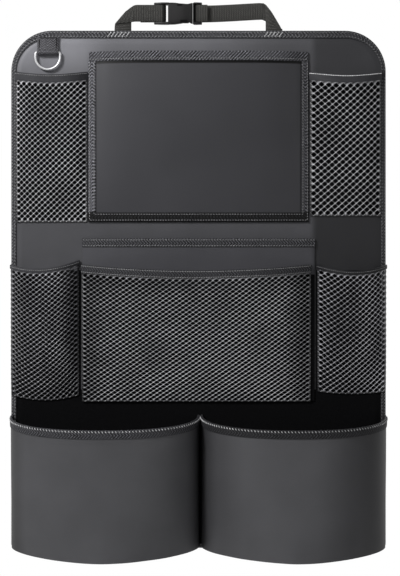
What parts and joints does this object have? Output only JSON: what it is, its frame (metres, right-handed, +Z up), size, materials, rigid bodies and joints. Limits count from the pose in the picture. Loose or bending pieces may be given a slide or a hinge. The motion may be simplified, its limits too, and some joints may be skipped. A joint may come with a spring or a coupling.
{
  "type": "car seat back organizer",
  "caption": "Hanging car seat back organizer: edge-bound panel with a tablet window, net side pockets, document pocket, deep bottom pockets, a D ring and a buckled headrest strap.",
  "frame": {"origin": "middle of the flat back of the panel, which lies against the seat back", "axes": "+Z up towards the headrest strap, -Y out of the front where the pockets are, +X to the right seen from the front"},
  "size_m": [0.42, 0.0873, 0.6132],
  "materials": {
    "leather": "fine grained charcoal synthetic leather, satin",
    "foam": "dark foam interlining, matt",
    "lining": "black non-woven lining, matt",
    "binding_tape": "ribbed woven charcoal tape with twin stitching",
    "window_film": "smoky touch-through film over the dark panel, satin",
    "net": "black warp-knitted diamond net with a slight sheen",
    "webbing": "dark grey woven webbing",
    "ring_steel": "polished nickel-plated steel wire",
    "buckle_plastic": "black acetal, satin"
  },
  "bodies": {
    "organizer": {"panel_lining": "lining", "panel_foam": "foam", "panel_face": "leather", "edge_binding": "binding_tape", "tablet_window": "window_film", "tablet_frame_binding": "binding_tape", "tablet_top_binding": "binding_tape", "upper_left_net": "net", "upper_left_rim_binding": "binding_tape", "upper_right_net": "net", "upper_right_rim_binding": "binding_tape", "document_pocket": "leather", "document_rim_binding": "binding_tape", "centre_net": "net", "centre_rim_binding": "binding_tape", "middle_left_net": "net", "middle_left_rim_binding": "binding_tape", "middle_right_net": "net", "middle_right_rim_binding": "binding_tape", "lower_left_pocket": "leather", "lower_left_floor": "leather", "lower_left_rim_binding": "binding_tape", "lower_right_pocket": "leather", "lower_right_floor": "leather", "lower_right_rim_binding": "binding_tape", "ring_tab": "webbing", "strap_left": "webbing", "strap_right": "webbing", "buckle_socket": "buckle_plastic", "buckle_plug": "buckle_plastic"},
    "ring": {"accessory_ring": "ring_steel"}
  },
  "joints": [
    {"name": "ring_swing", "type": "hinge", "parent": "organizer", "child": "ring", "pos_m": [-0.1684, -0.00825, 0.26465], "axis": [-1, 0, 0], "range_deg": [0, 150]}
  ]
}
